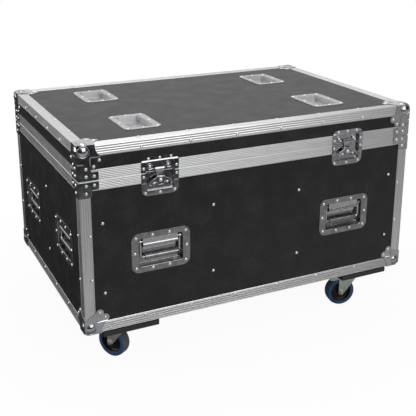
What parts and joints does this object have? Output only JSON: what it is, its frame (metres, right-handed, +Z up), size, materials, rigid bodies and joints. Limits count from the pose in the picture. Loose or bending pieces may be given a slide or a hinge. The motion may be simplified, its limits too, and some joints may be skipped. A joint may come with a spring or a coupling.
{
  "type": "lighting flight case",
  "caption": "Black laminated flight case with aluminium edging, ball corners, butterfly latches, sprung handles, lid dishes and swivel castors.",
  "frame": {"origin": "on the floor below the middle of the case", "axes": "+X to the right along the front, +Y from the front to the hinged back, +Z up"},
  "size_m": [1.2036, 0.8143, 0.7679],
  "materials": {
    "laminate": "black phenolic laminate on plywood, fine texture",
    "aluminium_edging": "clear anodised extrusion, with chromed ball corners and braces",
    "chromed_steel": "bright pressed steel",
    "zinc_steel": "zinc plated, satin",
    "black_plywood": "black stained plywood",
    "birch_plywood": "raw birch plywood",
    "blue_rubber": "matte blue tyre on a black core"
  },
  "bodies": {
    "base": {"base_back_panel": "laminate", "base_edging": "aluminium_edging", "base_floor_panel": "laminate", "base_front_panel": "laminate", "base_left_panel": "laminate", "base_right_panel": "laminate", "castor_board_back_left": "black_plywood", "castor_board_back_right": "black_plywood", "castor_board_front_left": "black_plywood", "castor_board_front_right": "black_plywood", "castor_plate_back_left": "zinc_steel", "castor_plate_back_right": "zinc_steel", "castor_plate_front_left": "zinc_steel", "castor_plate_front_right": "zinc_steel", "cross_divider_left": "birch_plywood", "cross_divider_right": "birch_plywood", "handle_dish_back_left": "chromed_steel", "handle_dish_back_right": "chromed_steel", "handle_dish_front_left": "chromed_steel", "handle_dish_front_right": "chromed_steel", "handle_dish_left_back": "chromed_steel", "handle_dish_left_front": "chromed_steel", "handle_dish_right_back": "chromed_steel", "handle_dish_right_front": "chromed_steel", "latch_left_dish": "chromed_steel", "latch_right_dish": "chromed_steel", "long_divider": "birch_plywood"},
    "lid": {"latch_left_keeper": "chromed_steel", "latch_right_keeper": "chromed_steel", "lid_castor_dish_back_left": "chromed_steel", "lid_castor_dish_back_right": "chromed_steel", "lid_castor_dish_front_left": "chromed_steel", "lid_castor_dish_front_right": "chromed_steel", "lid_edging": "aluminium_edging", "lid_top_panel": "laminate", "lid_wall_ring": "laminate"},
    "latch_left_cam": {"latch_left_cam": "chromed_steel"},
    "latch_left_hook": {"latch_left_hook": "zinc_steel"},
    "latch_left_wing": {"latch_left_wing": "chromed_steel"},
    "latch_right_cam": {"latch_right_cam": "chromed_steel"},
    "latch_right_hook": {"latch_right_hook": "zinc_steel"},
    "latch_right_wing": {"latch_right_wing": "chromed_steel"},
    "handle_bail_front_left": {"handle_bail_front_left": "chromed_steel"},
    "handle_bail_front_right": {"handle_bail_front_right": "chromed_steel"},
    "handle_bail_right_front": {"handle_bail_right_front": "chromed_steel"},
    "handle_bail_right_back": {"handle_bail_right_back": "chromed_steel"},
    "handle_bail_back_right": {"handle_bail_back_right": "chromed_steel"},
    "handle_bail_back_left": {"handle_bail_back_left": "chromed_steel"},
    "handle_bail_left_back": {"handle_bail_left_back": "chromed_steel"},
    "handle_bail_left_front": {"handle_bail_left_front": "chromed_steel"},
    "castor_front_left_fork": {"castor_fork_front_left": "zinc_steel"},
    "castor_front_left_wheel": {"castor_wheel_front_left": "blue_rubber"},
    "castor_front_right_fork": {"castor_fork_front_right": "zinc_steel"},
    "castor_front_right_wheel": {"castor_wheel_front_right": "blue_rubber"},
    "castor_front_right_brake": {"castor_brake_front_right": "zinc_steel"},
    "castor_back_left_fork": {"castor_fork_back_left": "zinc_steel"},
    "castor_back_left_wheel": {"castor_wheel_back_left": "blue_rubber"},
    "castor_back_right_fork": {"castor_fork_back_right": "zinc_steel"},
    "castor_back_right_wheel": {"castor_wheel_back_right": "blue_rubber"},
    "castor_back_right_brake": {"castor_brake_back_right": "zinc_steel"}
  },
  "joints": [
    {"name": "lid_hinge", "type": "hinge", "parent": "base", "child": "lid", "pos_m": [0, 0.4031, 0.65325], "axis": [-1, 0, 0], "range_deg": [0, 100]},
    {"name": "latch_left_turn", "type": "hinge", "parent": "base", "child": "latch_left_cam", "pos_m": [-0.341, -0.4, 0.6261], "axis": [0, -1, 0], "range_deg": [0, 180]},
    {"name": "latch_left_draw", "type": "slide", "parent": "base", "child": "latch_left_hook", "axis": [0, 0, 1], "range_m": [0, 0.006]},
    {"name": "latch_left_wing_fold", "type": "hinge", "parent": "latch_left_cam", "child": "latch_left_wing", "pos_m": [-0.341, -0.4043, 0.6376], "axis": [-1, 0, 0], "range_deg": [0, 90]},
    {"name": "latch_right_turn", "type": "hinge", "parent": "base", "child": "latch_right_cam", "pos_m": [0.341, -0.4, 0.6261], "axis": [0, -1, 0], "range_deg": [0, 180]},
    {"name": "latch_right_draw", "type": "slide", "parent": "base", "child": "latch_right_hook", "axis": [0, 0, 1], "range_m": [0, 0.006]},
    {"name": "latch_right_wing_fold", "type": "hinge", "parent": "latch_right_cam", "child": "latch_right_wing", "pos_m": [0.341, -0.4043, 0.6376], "axis": [-1, 0, 0], "range_deg": [0, 90]},
    {"name": "handle_front_left_lift", "type": "hinge", "parent": "base", "child": "handle_bail_front_left", "pos_m": [-0.341, -0.3885, 0.4296], "axis": [-1, 0, 0], "range_deg": [0, 90], "stiffness_Nm_per_rad": 0.3},
    {"name": "handle_front_right_lift", "type": "hinge", "parent": "base", "child": "handle_bail_front_right", "pos_m": [0.341, -0.3885, 0.4296], "axis": [-1, 0, 0], "range_deg": [0, 90], "stiffness_Nm_per_rad": 0.3},
    {"name": "handle_right_front_lift", "type": "hinge", "parent": "base", "child": "handle_bail_right_front", "pos_m": [0.5835, -0.2, 0.4296], "axis": [0, -1, 0], "range_deg": [0, 90], "stiffness_Nm_per_rad": 0.3},
    {"name": "handle_right_back_lift", "type": "hinge", "parent": "base", "child": "handle_bail_right_back", "pos_m": [0.5835, 0.2, 0.4296], "axis": [0, -1, 0], "range_deg": [0, 90], "stiffness_Nm_per_rad": 0.3},
    {"name": "handle_back_right_lift", "type": "hinge", "parent": "base", "child": "handle_bail_back_right", "pos_m": [0.341, 0.3885, 0.4296], "axis": [1, 0, 0], "range_deg": [0, 90], "stiffness_Nm_per_rad": 0.3},
    {"name": "handle_back_left_lift", "type": "hinge", "parent": "base", "child": "handle_bail_back_left", "pos_m": [-0.341, 0.3885, 0.4296], "axis": [1, 0, 0], "range_deg": [0, 90], "stiffness_Nm_per_rad": 0.3},
    {"name": "handle_left_back_lift", "type": "hinge", "parent": "base", "child": "handle_bail_left_back", "pos_m": [-0.5835, 0.2, 0.4296], "axis": [0, 1, 0], "range_deg": [0, 90], "stiffness_Nm_per_rad": 0.3},
    {"name": "handle_left_front_lift", "type": "hinge", "parent": "base", "child": "handle_bail_left_front", "pos_m": [-0.5835, -0.2, 0.4296], "axis": [0, 1, 0], "range_deg": [0, 90], "stiffness_Nm_per_rad": 0.3},
    {"name": "castor_front_left_swivel", "type": "hinge", "parent": "base", "child": "castor_front_left_fork", "pos_m": [-0.445, -0.317, 0.139], "axis": [0, 0, 1], "continuous": true},
    {"name": "castor_front_left_roll", "type": "hinge", "parent": "castor_front_left_fork", "child": "castor_front_left_wheel", "pos_m": [-0.46679, -0.28345, 0.0525], "axis": [-0.8387, -0.5446, 0], "continuous": true},
    {"name": "castor_front_right_swivel", "type": "hinge", "parent": "base", "child": "castor_front_right_fork", "pos_m": [0.445, -0.317, 0.139], "axis": [0, 0, 1], "continuous": true},
    {"name": "castor_front_right_roll", "type": "hinge", "parent": "castor_front_right_fork", "child": "castor_front_right_wheel", "pos_m": [0.40587, -0.30868, 0.0525], "axis": [-0.2079, -0.9781, 0], "continuous": true},
    {"name": "castor_front_right_brake", "type": "hinge", "parent": "castor_front_right_fork", "child": "castor_front_right_brake", "pos_m": [0.39149, -0.30563, 0.1193], "axis": [-0.2079, -0.9781, 0], "range_deg": [0, 18]},
    {"name": "castor_back_left_swivel", "type": "hinge", "parent": "base", "child": "castor_back_left_fork", "pos_m": [-0.445, 0.317, 0.139], "axis": [0, 0, 1], "continuous": true},
    {"name": "castor_back_left_roll", "type": "hinge", "parent": "castor_back_left_fork", "child": "castor_back_left_wheel", "pos_m": [-0.47777, 0.33994, 0.0525], "axis": [-0.5736, -0.8192, 0], "continuous": true},
    {"name": "castor_back_right_swivel", "type": "hinge", "parent": "base", "child": "castor_back_right_fork", "pos_m": [0.445, 0.317, 0.139], "axis": [0, 0, 1], "continuous": true},
    {"name": "castor_back_right_roll", "type": "hinge", "parent": "castor_back_right_fork", "child": "castor_back_right_wheel", "pos_m": [0.40791, 0.33198, 0.0525], "axis": [-0.3746, -0.9272, 0], "continuous": true},
    {"name": "castor_back_right_brake", "type": "hinge", "parent": "castor_back_right_fork", "child": "castor_back_right_brake", "pos_m": [0.39428, 0.33749, 0.1193], "axis": [-0.3746, -0.9272, 0], "range_deg": [0, 18]}
  ],
  "couplings": [
    {"joint": "latch_left_draw", "follows": "latch_left_turn", "m_per_rad": 0.0019},
    {"joint": "latch_right_draw", "follows": "latch_right_turn", "m_per_rad": 0.0019}
  ]
}
